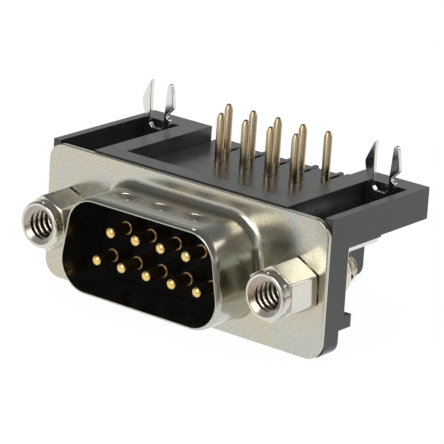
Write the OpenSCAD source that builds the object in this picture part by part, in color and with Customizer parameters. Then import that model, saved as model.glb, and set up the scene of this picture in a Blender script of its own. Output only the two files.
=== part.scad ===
// Nine-way right-angle D-subminiature plug for a printed circuit board.
// The origin is the centre of the D on the flange's front face: +X along the
// flange, +Y to the rear and +Z towards the board, which meets the tops of the arms.

/* [Front shell] */
// Distance from a screwlock's middle to the flange's end
flange_side = 2.91; // [2.6:0.01:4.5]
// Height of the steel flange
flange_h = 12.4; // [12.2:0.01:14]
// Radius of the flange's corners
flange_r = 1.6; // [0.6:0.1:2.4]
// Thickness of the steel sheet
sheet_t = 0.5; // [0.3:0.01:0.6]
// Widest inside width of the D mouth
mouth_w = 16.92; // [16.6:0.01:17.2]
// Inside height of the D mouth
mouth_h = 8.23; // [8.1:0.01:8.5]
// Inside radius of the D's corners
mouth_r = 2.6; // [2:0.05:3]
// Slope of the D's two sides, in degrees
side_angle = 10; // [6:0.5:12]
// Thickness of the drawn wall of the D, thinner than the flange
wall_t = 0.32; // [0.25:0.01:0.5]
// Reach of the D shell in front of the flange
shell_reach = 5.8; // [5.3:0.01:6.5]
// Radius of the rim's outer edge
rim_outer_r = 0.26; // [0.05:0.01:0.27]
// Radius of the rim's inner edge
rim_inner_r = 0.04; // [0.01:0.01:0.05]
// Radius of the drawn root between flange and D shell
root_r = 0.75; // [0.4:0.05:0.9]
// Distance from one pressed dimple to the next
dimple_pitch = 3.75; // [3.4:0.05:4]
// Length of a dimple along the shell's long side
dimple_w = 2.9; // [1.6:0.1:3.2]
// Length of a dimple in the mating direction
dimple_l = 1.7; // [1:0.1:2.4]
// Depth of a dimple
dimple_depth = 0.25; // [0.1:0.01:0.3]
// Distance from the flange's face to the dimples' middles
dimple_y = 3.0; // [2.6:0.1:3.4]

/* [Contacts] */
// Distance between neighbouring contacts of a row
contact_pitch = 2.77; // [2.7:0.01:2.8]
// Distance between the two rows of contacts
contact_rows = 2.84; // [2.6:0.01:2.9]
// Diameter of a contact behind its shoulder
contact_d = 1.2; // [1.05:0.01:1.3]
// Diameter of a contact's mating pin
pin_d = 0.98; // [0.8:0.01:1]
// Reach of the mating pins in front of the flange
pin_reach = 4.85; // [4.2:0.01:5.2]
// Distance from the flange's face to the contacts' shoulders
shoulder_reach = 2.5; // [1.2:0.1:3]
// Diameter of a solder tail
tail_d = 0.76; // [0.5:0.01:0.8]
// Radius of a contact's right-angle bend, on its middle line
bend_r = 0.9; // [0.6:0.05:1.1]
// Distance from the flange's face to the front row of tails
front_tail_y = 9.88; // [9.4:0.01:10.2]
// Distance between the two rows of tails
tail_rows = 2.84; // [2.5:0.01:2.9]
// Length of the tails above the board's face
tail_l = 3.1; // [2.4:0.05:4.5]
// Length of a tail's tapered tip
tail_tip = 0.45; // [0.2:0.05:0.8]

/* [Insulator] */
// Reach of the insulator's face in front of the flange
face_reach = 0.6; // [0.2:0.05:1]
// Thickness of the insulator's lip behind the flange
lip_t = 1.6; // [1:0.05:1.8]
// Width of the insulator's lip past the mouth, on each side
lip_edge = 0.75; // [0.4:0.05:0.8]
// Depth of the block that holds the contacts, behind the lip
block_l = 3.2; // [2:0.1:3.6]
// Plastic left beside the outermost contacts in the block
block_side = 1; // [0.6:0.05:1.3]
// Plastic left above and below the contacts in the block
block_top = 0.7; // [0.5:0.05:1]

/* [Rear housing] */
// Thickness of the housing's flange, above its feet
plate_t = 2.53; // [2.2:0.01:3]
// Thickness of the housing's flange, below its feet
lower_t = 1.92; // [1.2:0.01:2]
// Height from the D's centre to the board's face
seat_z = 6.32; // [6.22:0.01:6.6]
// Distance from a screw's middle to the inner wall of the arm's pocket
pocket_side = 1.84; // [1.7:0.01:2]
// Depth of the step under the arms' outer walls
step_h = 0.15; // [0.1:0.01:0.3]
// Height of the side arms
arm_h = 2.87; // [2.5:0.01:3]
// Free room behind the prongs in the arm's pocket
pocket_room = 0.62; // [0.3:0.01:0.9]
// Thickness of an arm's outer wall
outer_wall = 0.8; // [0.5:0.01:1]
// Thickness of an arm's inner wall
inner_wall = 2.03; // [1.9:0.01:2.1]
// Thickness of an arm's rear wall
rear_wall = 2.15; // [1.4:0.01:2.3]
// Width of the raised bar along the flange's edge
bar_w = 1.9; // [1.2:0.01:2.2]
// Depth of the recess between the arms
recess_depth = 1.35; // [0.9:0.01:1.5]
// Free room behind the rear tails, inside the body
body_gap = 1.1; // [0.8:0.01:1.3]
// Distance from the D's centre down to the body's underside
body_drop = 3.4; // [3:0.01:4]
// Thickness of the body's walls
body_wall = 0.9; // [0.6:0.01:1.1]
// Reach of the feet behind the housing's flange
foot_reach = 1.05; // [0.8:0.01:1.6]
// Height of the feet
foot_h = 1.15; // [0.8:0.01:1.5]
// Distance from the D's centre down to the feet's tops
foot_drop = 2.75; // [2.4:0.01:3.1]

/* [Tail spacer] */
// Thickness of the spacer plate
spacer_t = 1.0; // [0.7:0.01:1.2]
// Reach of the spacer's fingers behind the rear tails' middles
finger_l = 2.28; // [1.9:0.01:2.6]
// Further reach of the spacer's two end blocks and latches
latch_reach = 0.65; // [0.3:0.01:0.8]
// Width of the slots behind the rear tails
slot_w = 0.42; // [0.3:0.01:0.5]
// Height of the small stops on the latches
stop_h = 0.6; // [0.3:0.01:0.8]

/* [Board locks] */
// Thickness of the board lock's sheet
lock_t = 0.45; // [0.35:0.01:0.5]
// Width of the board lock's leg behind the flange
leg_w = 5.3; // [4.9:0.01:5.6]
// Reach of the wide part under the arm, behind the flange's face
foot_plate_reach = 7.6; // [6.5:0.01:8.5]
// Distance from the flange's face to the prongs
prong_y = 11.4; // [10.8:0.01:11.6]
// Half the width of the board lock's neck
neck_side = 1.45; // [1.3:0.01:1.6]
// Reach of a barb beside the neck
barb_side = 0.36; // [0.2:0.01:0.4]
// Gap between the two prongs
prong_gap = 1.62; // [1.4:0.01:1.9]
// Height of the prongs above the board's face
prong_l = 3.9; // [3.2:0.01:4.6]
// Height of the barbs above the board's face
barb_l = 1.8; // [1.4:0.01:2]
// Depth of the gap between the prongs below the board's face
saddle_depth = 0.45; // [0.3:0.05:2]

/* [Screwlocks] */
// Distance between the two screwlocks
screw_pitch = 24.99; // [24.8:0.01:25.1]
// Width across the flats of the screwlock's hexagon
hex_af = 4.52; // [4.5:0.01:4.9]
// Length of the screwlock's hexagon with its base
hex_l = 4.45; // [4.2:0.05:5.5]
// Length of the round base behind the hexagon
base_l = 0.5; // [0.3:0.05:0.8]
// Length of the turned collar in front of the hexagon
collar_l = 1.0; // [0.6:0.05:1.3]
// Turn of the left screwlock's hexagon, as tightened, in degrees
turn_left = 11; // [0:1:59]
// Turn of the right screwlock's hexagon, in degrees
turn_right = 2; // [0:1:59]
// Bevel of the hexagon's rear corners
base_step = 0.3; // [0.1:0.05:0.4]
// Radius of the screwlock's outer thread
screw_r = 1.42; // [1.2:0.01:1.5]
// Radius of the screwlock's threaded hole
hole_r = 1.2; // [1:0.01:1.25]
// Depth of the screwlock's threaded hole
hole_l = 4.0; // [3.4:0.05:4.1]
// Radius of the threaded hole's mouth
mouth_cone_r = 1.75; // [1.5:0.01:1.85]
// Width of the flat ring round the threaded hole's mouth
ring_w = 0.18; // [0.1:0.01:0.3]
// Distance from the flange's face to the screw's end
screw_reach = 7.0; // [5.6:0.05:8.5]
// Radius of the threaded insert's collar
insert_r = 2.1; // [1.9:0.01:2.2]
// Thickness of the threaded insert's shank
insert_t = 0.35; // [0.25:0.01:0.5]
// Length of the threaded insert's collar
insert_l = 1.4; // [0.8:0.05:1.8]

/* [Hidden] */
$fn = 48;

// Clearances between pieces that fit into each other
fit = 0.02;
slide_fit = 0.05;
screw_fit = 0.15;
boss_fit = 0.05;
over = 1;

// Sizes that follow from others
flange_w = screw_pitch + 2*flange_side;
lip_w = mouth_w + 2*lip_edge;
lip_h = mouth_h + 2*lip_edge;
block_w = 4*contact_pitch + contact_d + 2*block_side;
block_h = contact_rows + contact_d + 2*block_top;

// Places along Y, from the flange's front face
sheet_back = sheet_t;
plate_back = sheet_back + plate_t;
lower_back = sheet_back + lower_t;
bar_back = sheet_back + bar_w;
lip_back = sheet_back + lip_t;
block_back = lip_back + block_l;
rear_tail_y = front_tail_y + tail_rows;
body_reach = rear_tail_y + tail_d/2 + body_gap + body_wall;
finger_reach = rear_tail_y + finger_l;
spacer_reach = finger_reach + latch_reach;
leg_back = plate_back + lock_t;
pocket_end = prong_y + lock_t/2 + pocket_room;
arm_reach = pocket_end + rear_wall;

// Heights, from the middle of the D
arm_z = seat_z - arm_h;
floor_z = seat_z - recess_depth;
ledge_z = floor_z - spacer_t;
bottom_z = -flange_h/2 + 0.1;
foot_z = -foot_drop - foot_h;
under_z = arm_z - step_h;

// Places along X
half_w = flange_w/2;
screw_x = screw_pitch/2;
pocket_in = screw_x - pocket_side;
pocket_out = half_w - outer_wall;
recess_x = pocket_in - inner_wall;

// Stands a flat XY outline up in the XZ plane, thick from y0 to y1
module upright(y0, y1) {
  translate([0, y1, 0]) rotate([90, 0, 0]) linear_extrude(y1 - y0) children();
}

// A round bar along Y from y0 to y1
module rod_y(r, y0, y1, x = 0, z = 0) {
  translate([x, y0, z]) rotate([-90, 0, 0]) cylinder(r = r, h = y1 - y0);
}

// A box given by its lowest and highest corners
module block(low, high) {
  translate(low) cube(high - low);
}

module both_sides() {
  children();
  mirror([1, 0, 0]) children();
}

// A rectangle with round corners, centred
module round_rect(w, h, r) {
  square([w, h - 2*r], center = true);
  square([w - 2*r, h], center = true);
  for (sx = [-1, 1], sz = [-1, 1])
    translate([sx*(w/2 - r), sz*(h/2 - r)]) circle(r);
}

// The D outline: its corner arcs and long sides as [x, z, normal x, normal z]
d_half = mouth_w/2 - (mouth_h/2 - mouth_r)*tan(side_angle) + mouth_r*(1/cos(side_angle) - 1);
function d_corner_x(z) = d_half - z*tan(side_angle) - mouth_r/cos(side_angle);
corner_z = mouth_h/2 - mouth_r;
top_x = d_corner_x(corner_z);
low_x = d_corner_x(-corner_z);
CORNER_STEPS = 7;
SIDE_STEPS = 22;
function d_arc(cx, cz, a0, a1) = [
  for (i = [0:CORNER_STEPS])
    let (a = a0 + (a1 - a0)*i/CORNER_STEPS)
    [cx + mouth_r*cos(a), cz + mouth_r*sin(a), cos(a), sin(a)]
];
function d_side(x0, x1, z, n) = [
  for (i = [1:SIDE_STEPS - 1])
    [x0 + (x1 - x0)*i/SIDE_STEPS, z, 0, n]
];
D_LINE = concat(
  d_arc(top_x, corner_z, 90, side_angle),
  d_arc(low_x, -corner_z, side_angle, -90),
  d_side(low_x, -low_x, -mouth_h/2, -1),
  d_arc(-low_x, -corner_z, -90, -180 - side_angle),
  d_arc(-top_x, corner_z, 180 - side_angle, 90),
  d_side(-top_x, top_x, mouth_h/2, 1)
);
function d_point(p, grow) = [p[0] + grow*p[2], p[1] + grow*p[3]];
module d_shape(grow) {
  polygon([for (p = D_LINE) d_point(p, grow)]);
}

// Depth of the pressed dimples at a place on the shell's long sides
function bowl(u, v) = max(0, 1 - u*u - v*v);
function dimple(p, y) =
  abs(p[3]) < 1 ? 0 :
  dimple_depth*max([for (k = [-1:1])
    pow(bowl((p[0] - k*dimple_pitch)/(dimple_w/2), (y + dimple_y)/(dimple_l/2)), 1.5)]);

// The section of the drawn sheet as [grow, y], once round: the flange's front, the
// root, the outer wall, the mouth's edge, the inner wall and the flange's back
ROOT_STEPS = 4;
WALL_STEPS = 9;
RIM_STEPS = 3;
root_grow = wall_t + root_r;
ring_grow = root_grow + 0.2;
function root_arc(rx, ry, a0, a1) = [
  for (i = [0:ROOT_STEPS])
    let (a = a0 + (a1 - a0)*i/ROOT_STEPS)
    [root_grow + rx*cos(a), -root_r + ry*sin(a)]
];
wall_from = -root_r - 0.05;
function wall(grow, y0, y1) = [
  for (i = [0:WALL_STEPS]) [grow, y0 + (y1 - y0)*i/WALL_STEPS]
];
function rim_arc(grow, r, a0, a1) = [
  for (i = [0:RIM_STEPS])
    let (a = a0 + (a1 - a0)*i/RIM_STEPS)
    [grow + r*cos(a), -shell_reach + r + r*sin(a)]
];
SECTION = concat(
  [[ring_grow, 0]],
  root_arc(root_r, root_r, 90, 180),
  wall(wall_t, wall_from, -shell_reach + rim_outer_r + 0.05),
  rim_arc(wall_t - rim_outer_r, rim_outer_r, 0, -90),
  rim_arc(rim_inner_r, rim_inner_r, -90, -180),
  wall(0, -shell_reach + rim_inner_r + 0.05, wall_from),
  root_arc(root_grow, root_r + sheet_t, 180, 90),
  [[ring_grow, sheet_t]]
);
module drawn_shell() {
  n = len(D_LINE);
  m = len(SECTION);
  points = [
    for (p = D_LINE, s = SECTION)
      let (q = d_point(p, s[0] - dimple(p, s[1])))
      [q[0], s[1], q[1]]
  ];
  faces = [
    for (i = [0:n - 1], j = [0:m - 1])
      let (a = i*m + j, b = i*m + (j + 1)%m, c = ((i + 1)%n)*m + (j + 1)%m, d = ((i + 1)%n)*m + j)
      for (f = [[a, c, b], [a, d, c]]) f
  ];
  polyhedron(points, faces);
}

module front_shell() {
  color([0.78, 0.75, 0.69]) {
    drawn_shell();
    upright(0, sheet_t) difference() {
      round_rect(flange_w, flange_h, flange_r);
      d_shape(ring_grow - 0.1);
      for (s = [-1, 1]) translate([s*screw_x, 0]) circle(screw_r + screw_fit);
    }
  }
}

// The contacts' places: four in the upper row, five in the lower one
function upper_x(k) = (k - 1.5)*contact_pitch;
function lower_x(k) = (k - 2)*contact_pitch;
upper_z = contact_rows/2;
lower_z = -contact_rows/2;
module at_each_contact() {
  for (k = [0:3]) translate([upper_x(k), 0, upper_z]) children();
  for (k = [0:4]) translate([lower_x(k), 0, lower_z]) children();
}
module at_each_tail() {
  for (k = [0:3]) translate([upper_x(k), front_tail_y, 0]) children();
  for (k = [0:4]) translate([lower_x(k), rear_tail_y, 0]) children();
}

// A contact: a turned pin with a round nose and a shoulder, thinned to a wire that
// turns up into the tail
module contact(x, z, tail_y) {
  nose = pin_d/2;
  wire_from = block_back - contact_d/3;
  tip_from = seat_z + tail_l - tail_tip;
  color([0.82, 0.66, 0.34]) translate([x, 0, 0]) {
    translate([0, 0, z]) rotate([90, 0, 0]) rotate_extrude() polygon(concat(
      [[0, -wire_from], [contact_d/2, -wire_from], [contact_d/2, shoulder_reach - 0.1],
       [pin_d/2, shoulder_reach]],
      [for (a = [0:15:90]) [nose*cos(a), pin_reach - nose + nose*sin(a)]]
    ));
    rod_y(tail_d/2, wire_from - over/4, tail_y - bend_r, 0, z);
    translate([0, tail_y - bend_r, z + bend_r]) rotate([0, 90, 0])
      rotate_extrude(angle = 90) translate([bend_r, 0]) circle(tail_d/2);
    translate([0, tail_y, 0]) {
      translate([0, 0, z + bend_r]) cylinder(d = tail_d, h = tip_from - z - bend_r);
      translate([0, 0, tip_from]) cylinder(r1 = tail_d/2, r2 = tail_d/3.4, h = 0.8*tail_tip);
      translate([0, 0, tip_from + 0.8*tail_tip])
        cylinder(r1 = tail_d/3.4, r2 = tail_d/6, h = 0.2*tail_tip);
    }
  }
}

module contact_insulator() {
  color([0.07, 0.07, 0.075]) difference() {
    union() {
      upright(-face_reach, sheet_back + over/2) d_shape(-boss_fit);
      upright(sheet_back, lip_back) round_rect(lip_w, lip_h, mouth_r);
      upright(lip_back - over/2, block_back) round_rect(block_w, block_h, 0.6);
    }
    at_each_contact() rod_y(contact_d/2 + fit, -face_reach - over, block_back + over);
  }
}

// The outline of the housing's flange: square at the board, round at the foot
module housing_outline() {
  r = flange_r - 0.4;
  translate([-half_w, bottom_z + r]) square([flange_w, seat_z - bottom_z - r]);
  translate([-half_w + r, bottom_z]) square([flange_w - 2*r, r]);
  for (s = [-1, 1]) translate([s*(half_w - r), bottom_z + r]) circle(r);
}

module arm() {
  block([recess_x, sheet_back, arm_z], [half_w, arm_reach, seat_z]);
  block([pocket_out, plate_back - over/2, under_z], [half_w, foot_plate_reach, arm_z + over/2]);
  block([recess_x - over/2, sheet_back, foot_z], [half_w, plate_back + foot_reach, -foot_drop]);
}

module rear_housing() {
  cavity_x = recess_x - body_wall;
  body_r = 0.7;
  color([0.2, 0.21, 0.2]) difference() {
    union() {
      upright(sheet_back, lower_back) housing_outline();
      block([-half_w, sheet_back, foot_z], [half_w, plate_back, seat_z]);
      both_sides() arm();
      // The central body, with round lower edges at the rear
      translate([0, 0, -body_drop]) {
        block([-recess_x, sheet_back, body_r], [recess_x, body_reach, body_drop + ledge_z]);
        block([-recess_x, sheet_back, 0], [recess_x, body_reach - body_r, body_r]);
        translate([-recess_x, body_reach - body_r, body_r]) rotate([0, 90, 0])
          cylinder(r = body_r, h = 2*recess_x);
      }
    }
    // The recess between the arms, and the cavity where the contacts turn up
    block([-recess_x, bar_back, ledge_z], [recess_x, body_reach + over, seat_z + over]);
    block([-cavity_x, block_back, -body_drop + body_wall],
      [cavity_x, body_reach - body_wall, seat_z]);
    // The seat of the insulator, open to the front
    upright(sheet_back - over, lip_back) round_rect(lip_w + 2*slide_fit, lip_h + 2*slide_fit, mouth_r);
    upright(sheet_back, block_back + over/2)
      round_rect(block_w + 2*slide_fit, block_h + 2*slide_fit, 0.6);
    both_sides() {
      block([pocket_in, sheet_back - over, arm_z], [pocket_out, pocket_end, seat_z + over]);
      block([pocket_in, plate_back, under_z - over], [pocket_out, pocket_end, arm_z + over]);
      rod_y(screw_r + screw_fit, -over, plate_back + over, screw_x);
    }
  }
}

// The plate that holds the tails in line, with a slot open to the rear behind each
// rear tail and a springy latch beside it
module tail_spacer() {
  edge = recess_x - slide_fit;
  latch_w = 0.4;
  latch_from = rear_tail_y + 0.6;
  end_x = lower_x(4) - latch_w/2;
  color([0.2, 0.21, 0.2]) difference() {
    union() {
      block([-edge, bar_back + slide_fit, ledge_z], [edge, finger_reach, floor_z]);
      // End blocks beside the outermost tails
      block([end_x, finger_reach - over, ledge_z], [edge, spacer_reach, floor_z]);
      block([-edge, finger_reach - over, ledge_z], [-end_x - latch_w, spacer_reach, floor_z]);
      // Latches with their stops
      for (k = [0:4]) translate([lower_x(k) - latch_w/2 - slot_w/4, 0, 0]) {
        block([-latch_w/2, latch_from, ledge_z], [latch_w/2, spacer_reach, floor_z]);
        block([-latch_w/4, latch_from, floor_z - over/4], [latch_w/4, latch_from + 0.25, floor_z + stop_h]);
      }
    }
    at_each_tail() translate([0, 0, ledge_z - over]) cylinder(r = tail_d/2 + slide_fit, h = spacer_t + 2*over);
    for (k = [0:4]) translate([lower_x(k) + slot_w/4, 0, 0])
      block([-slot_w/2, rear_tail_y, ledge_z - over], [slot_w/2, spacer_reach + over, floor_z + over]);
  }
}

// The board lock, one folded sheet: a leg behind the flange, a floor under the arm
// and two barbed prongs through the arm's pocket
module prongs_outline() {
  gap = prong_gap/2;
  barb_x = neck_side + barb_side;
  barb_z = seat_z + barb_l;
  tip_z = seat_z + prong_l;
  neck_z = barb_z - 0.75;
  saddle_z = seat_z - saddle_depth;
  polygon([
    [-neck_side, under_z - 0.05], [-neck_side, neck_z - 0.35], [-neck_side - barb_side/2, neck_z],
    [-barb_x, barb_z], [-barb_x + 0.03, barb_z + 0.3], [-gap - 0.24, tip_z - 0.2],
    [-gap - 0.08, tip_z], [-gap + 0.02, tip_z - 0.06], [-gap - 0.04, tip_z - 0.9],
    [-gap, neck_z], [-gap, saddle_z + 0.3], [-gap + 0.3, saddle_z],
    [gap - 0.3, saddle_z], [gap, saddle_z + 0.3], [gap, neck_z], [gap + 0.08, barb_z],
    [gap + 0.24, tip_z - 0.25], [gap + 0.36, tip_z - 0.03], [gap + 0.5, tip_z],
    [gap + 0.64, tip_z - 0.1], [gap + 0.76, tip_z - 0.5], [barb_x, barb_z + 0.1],
    [barb_x - 0.02, barb_z - 0.1], [neck_side - 0.37, neck_z - 0.1],
    [neck_side - 0.37, neck_z - 0.25], [neck_side, neck_z - 0.5], [neck_side, under_z - 0.05]
  ]);
}

// A quarter fold of the sheet about X, turned to the quarter it fills
module fold(x0, x1, inner_r, turn) {
  translate([x0, 0, 0]) rotate([turn, 0, 0]) rotate([0, 90, 0]) intersection() {
    difference() {
      cylinder(r = inner_r + lock_t, h = x1 - x0);
      translate([0, 0, -over]) cylinder(r = inner_r, h = x1 - x0 + 2*over);
    }
    translate([0, 0, -over]) cube([over*3, over*3, x1 - x0 + 2*over]);
  }
}

module board_lock() {
  inner_r = 0.2;
  outer_r = inner_r + lock_t;
  top = under_z - 0.04;
  leg_x0 = screw_x - leg_w/2;
  leg_x1 = screw_x + leg_w/2;
  neck_x0 = screw_x - neck_side;
  neck_x1 = screw_x + neck_side;
  blade_front = prong_y - lock_t/2;
  blade_back = prong_y + lock_t/2;
  leg_low = -foot_drop + fit;
  color([0.86, 0.86, 0.84]) difference() {
    union() {
      block([leg_x0, plate_back, leg_low], [leg_x1, leg_back, top - outer_r]);
      translate([0, leg_back + inner_r, top - outer_r]) fold(leg_x0, leg_x1, inner_r, 180);
      block([leg_x0, leg_back + inner_r, top - lock_t], [leg_x1, foot_plate_reach, top]);
      block([neck_x0, foot_plate_reach - over, top - lock_t], [neck_x1, blade_front - inner_r, top]);
      translate([0, blade_front - inner_r, top + inner_r]) fold(neck_x0, neck_x1, inner_r, 0);
      translate([screw_x, 0, 0]) upright(blade_front, blade_back) intersection() {
        prongs_outline();
        translate([-leg_w/2, top + inner_r]) square([leg_w, seat_z + prong_l]);
      }
    }
    rod_y(screw_r + insert_t, 0, leg_back + over/4, screw_x);
  }
}

// A clinched nut: a shank in the board lock's leg and a collar behind it
module threaded_insert() {
  color([0.8, 0.79, 0.75]) difference() {
    union() {
      rod_y(screw_r + insert_t - fit, plate_back, leg_back + over/4, screw_x);
      rod_y(insert_r, leg_back, leg_back + insert_l, screw_x);
    }
    rod_y(screw_r + fit/2, 0, leg_back + insert_l + over, screw_x);
  }
}

// The screwlock: a hexagon with a turned collar and a threaded hole in front, a screw behind
module screwlock(x, turn) {
  corner_r = hex_af/2/cos(30);
  face_r = mouth_cone_r + ring_w;
  hex_front = hex_l - collar_l;
  collar_r = hex_af/2 - 0.04;
  nose_l = screw_r/4;
  color([0.82, 0.8, 0.75]) translate([x, 0, 0]) difference() {
    union() {
      intersection() {
        translate([0, -base_l, 0]) rotate([90, 30 - turn, 0])
          linear_extrude(hex_front - base_l) circle(corner_r, $fn = 6);
        rotate([90, 0, 0]) rotate_extrude() polygon([
          [0, base_l], [corner_r - base_step, base_l], [corner_r + 0.01, base_l + base_step],
          [corner_r + 0.01, hex_front], [0, hex_front]
        ]);
      }
      rotate([90, 0, 0]) rotate_extrude() polygon([
        [0, base_l], [collar_r, base_l], [collar_r, hex_front], [face_r + 0.12, hex_l - 0.2],
        [face_r + 0.07, hex_l - 0.07], [face_r, hex_l], [0, hex_l]
      ]);
      rod_y(hex_af/2 - base_step/2, -base_l, 0);
      rod_y(screw_r, -base_l, screw_reach - nose_l);
      translate([0, screw_reach - nose_l, 0]) rotate([-90, 0, 0])
        cylinder(r1 = screw_r, r2 = screw_r - nose_l, h = nose_l);
    }
    rod_y(hole_r, -hex_l - over, -hex_l + hole_l);
    translate([0, -hex_l - 0.01, 0]) rotate([-90, 0, 0])
      cylinder(r1 = mouth_cone_r, r2 = hole_r, h = mouth_cone_r - hole_r);
  }
}

front_shell();
contact_insulator();
rear_housing();
tail_spacer();
board_lock();  // board_lock_right
translate([-screw_pitch, 0, 0]) board_lock();  // board_lock_left
threaded_insert();  // threaded_insert_right
mirror([1, 0, 0]) threaded_insert();  // threaded_insert_left
screwlock(screw_x, turn_right);  // screwlock_right
screwlock(-screw_x, turn_left);  // screwlock_left
for (k = [0:3])
  contact(upper_x(k), upper_z, front_tail_y);
for (k = [0:4])
  contact(lower_x(k), lower_z, rear_tail_y);
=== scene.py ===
"""Dresses a packed nine-way right-angle D-sub plug: sheets, threads, contacts and mouldings.

All sizes are in metres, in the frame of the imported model: +X along the flange, +Y to the rear,
+Z towards the circuit board, with the origin at the centre of the D on the flange's front face.
"""

from types import SimpleNamespace

import bmesh
import bpy
import numpy as np
from bpy.props import FloatProperty, FloatVectorProperty, IntProperty, PointerProperty
from mathutils import Matrix, Vector
from mathutils.geometry import delaunay_2d_cdt


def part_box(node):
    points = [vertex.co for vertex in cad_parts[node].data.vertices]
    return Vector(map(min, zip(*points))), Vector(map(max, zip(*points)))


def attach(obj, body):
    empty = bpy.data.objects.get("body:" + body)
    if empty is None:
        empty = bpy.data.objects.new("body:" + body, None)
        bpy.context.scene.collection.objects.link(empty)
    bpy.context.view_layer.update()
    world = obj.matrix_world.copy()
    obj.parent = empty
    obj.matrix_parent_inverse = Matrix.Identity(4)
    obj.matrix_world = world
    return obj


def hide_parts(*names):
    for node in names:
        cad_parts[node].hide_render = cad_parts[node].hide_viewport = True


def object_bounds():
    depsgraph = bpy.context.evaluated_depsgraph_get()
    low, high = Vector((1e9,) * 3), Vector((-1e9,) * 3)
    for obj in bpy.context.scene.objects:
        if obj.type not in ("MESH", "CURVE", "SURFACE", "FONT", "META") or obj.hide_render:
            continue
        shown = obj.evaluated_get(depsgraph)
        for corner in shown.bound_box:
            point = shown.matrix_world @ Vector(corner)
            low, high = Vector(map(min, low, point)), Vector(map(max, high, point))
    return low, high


bl_info = {
    "name": "D-sub plug dresser",
    "version": (1, 0, 0),
    "blender": (4, 5, 0),
    "location": "3D View > Sidebar > D-sub",
    "description": "Builds the visible sheets, threads, contacts and mouldings of a D-sub plug",
    "category": "Object",
}

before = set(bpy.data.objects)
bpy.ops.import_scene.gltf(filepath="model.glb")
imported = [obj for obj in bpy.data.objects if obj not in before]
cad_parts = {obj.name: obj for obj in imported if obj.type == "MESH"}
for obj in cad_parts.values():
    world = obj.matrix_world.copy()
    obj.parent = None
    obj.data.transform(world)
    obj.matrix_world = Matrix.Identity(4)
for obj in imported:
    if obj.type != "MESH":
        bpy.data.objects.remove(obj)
CAD_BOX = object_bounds()
MM = 0.001
ROOT = "root"
TURN = 2 * np.pi
RIGHT_ANGLE = np.pi / 2


def low(node):
    """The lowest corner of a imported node."""
    return np.array(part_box(node)[0])


def high(node):
    """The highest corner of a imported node."""
    return np.array(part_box(node)[1])


def length(name, words, default_mm):
    """A length property, its default given in millimetres."""
    default = default_mm * MM
    return FloatProperty(name=name, description=words, default=default, unit="LENGTH", precision=5)


def slant(name, words, default_degrees):
    """An angle property, its default given in degrees."""
    default = np.radians(default_degrees)
    return FloatProperty(name=name, description=words, default=default, subtype="ANGLE")


def power(name, words, default):
    """A lamp's power in watts."""
    return FloatProperty(name=name, description=words, default=default, unit="POWER")


def colour(name, words, default):
    """A colour property in linear values."""
    return FloatVectorProperty(
        name=name, description=words, default=default, size=3, subtype="COLOR", min=0, max=1
    )


class PlugSizes(bpy.types.PropertyGroup):
    """Sizes of the forms that a user would change."""

    mouth_width: length("Mouth width", "Widest inside width of the D", 16.92)
    mouth_height: length("Mouth height", "Inside height of the D", 8.23)
    mouth_radius: length("Mouth radius", "Inside radius of the D's corners", 2.6)
    side_angle: slant("Side angle", "Slope of the D's sides", 10)
    root_radius: length("Root radius", "Radius of the drawn root between flange and shell", 0.75)
    sheet: length("Sheet", "Thickness of the flange's sheet", 0.5)
    wall: length("Wall", "Thickness of the drawn wall of the D", 0.32)
    rim_outer: length("Rim outer", "Width of the rim's outer rounding", 0.26)
    rim_inner: length("Rim inner", "Radius of the rim's inner edge", 0.04)
    rim_length: length("Rim length", "Length of the rim's outer rounding along the D", 0.7)
    flange_radius: length("Flange corner", "Radius of the flange's corners", 1.6)
    dimple_pitch: length("Dimple pitch", "Distance between the pressed dimples", 3.75)
    dimple_width: length("Dimple width", "Length of a dimple along the shell", 3.3)
    dimple_length: length("Dimple length", "Length of a dimple in the mating direction", 1.9)
    dimple_depth: length("Dimple depth", "Depth of a dimple", 0.36)
    dimple_place: length("Dimple place", "Distance from the flange to the dimples", 3.0)
    thread_pitch: length("Thread pitch", "Pitch of the screwlocks' threads", 0.635)
    thread_radius: length("Thread radius", "Outer radius of the screwlocks' threads", 1.42)
    hole_radius: length("Hole radius", "Radius on the crests of the inner thread", 1.2)
    groove_radius: length("Groove radius", "Radius in the grooves of the inner thread", 1.58)
    mouth_cone: length("Mouth cone", "Radius of the threaded hole's mouth", 1.76)
    ring_width: length("Ring", "Width of the flat ring round the hole's mouth", 0.14)
    hex_flats: length("Hexagon", "Width across the screwlock's flats", 4.42)
    collar: length("Collar", "Length of the turned collar in front of the hexagon", 0.85)
    turn_left: slant("Left turn", "Turn of the left hexagon", 11)
    turn_right: slant("Right turn", "Turn of the right hexagon", 2)
    pin_diameter: length("Pin", "Diameter of a mating pin", 0.98)
    tail_diameter: length("Tail", "Diameter of a solder tail", 0.76)
    mould_edge: length("Mould edge", "Rounding of the mouldings' edges", 0.08)


class PlugFinish(bpy.types.PropertyGroup):
    """Colours of the finishes."""

    plate: colour("Front plate", "Matt tin plate of the front shell", (0.56, 0.55, 0.47))
    bright_plate: colour("Bright plate", "Bright tin plate of the board locks", (0.74, 0.73, 0.70))
    screw_plate: colour("Screw plate", "Nickel plate of the screwlocks", (0.68, 0.66, 0.58))
    # painted shade: the plate inside the threaded holes is darkened for the shade that falls in them
    shaded_thread_plate: colour("Shaded thread plate", "Plate darkened in the threaded holes as painted shade", (0.42, 0.38, 0.32))
    gold: colour("Gold", "Gold plate of the mating pins", (0.86, 0.62, 0.25))
    # painted shade: the gold behind the pins' tips is darkened for the shade on their shafts in the
    # D's mouth
    shaded_gold: colour("Shaded gold", "Gold darkened behind the pins' tips as painted shade", (0.36, 0.25, 0.12))
    tail: colour("Tail", "Dull plate of the solder tails", (0.50, 0.41, 0.27))
    housing: colour("Housing", "Grey-black moulding of the housing", (0.018, 0.0185, 0.0175))
    insulator: colour("Insulator", "Black moulding round the contacts", (0.003, 0.0025, 0.0025))


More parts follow.
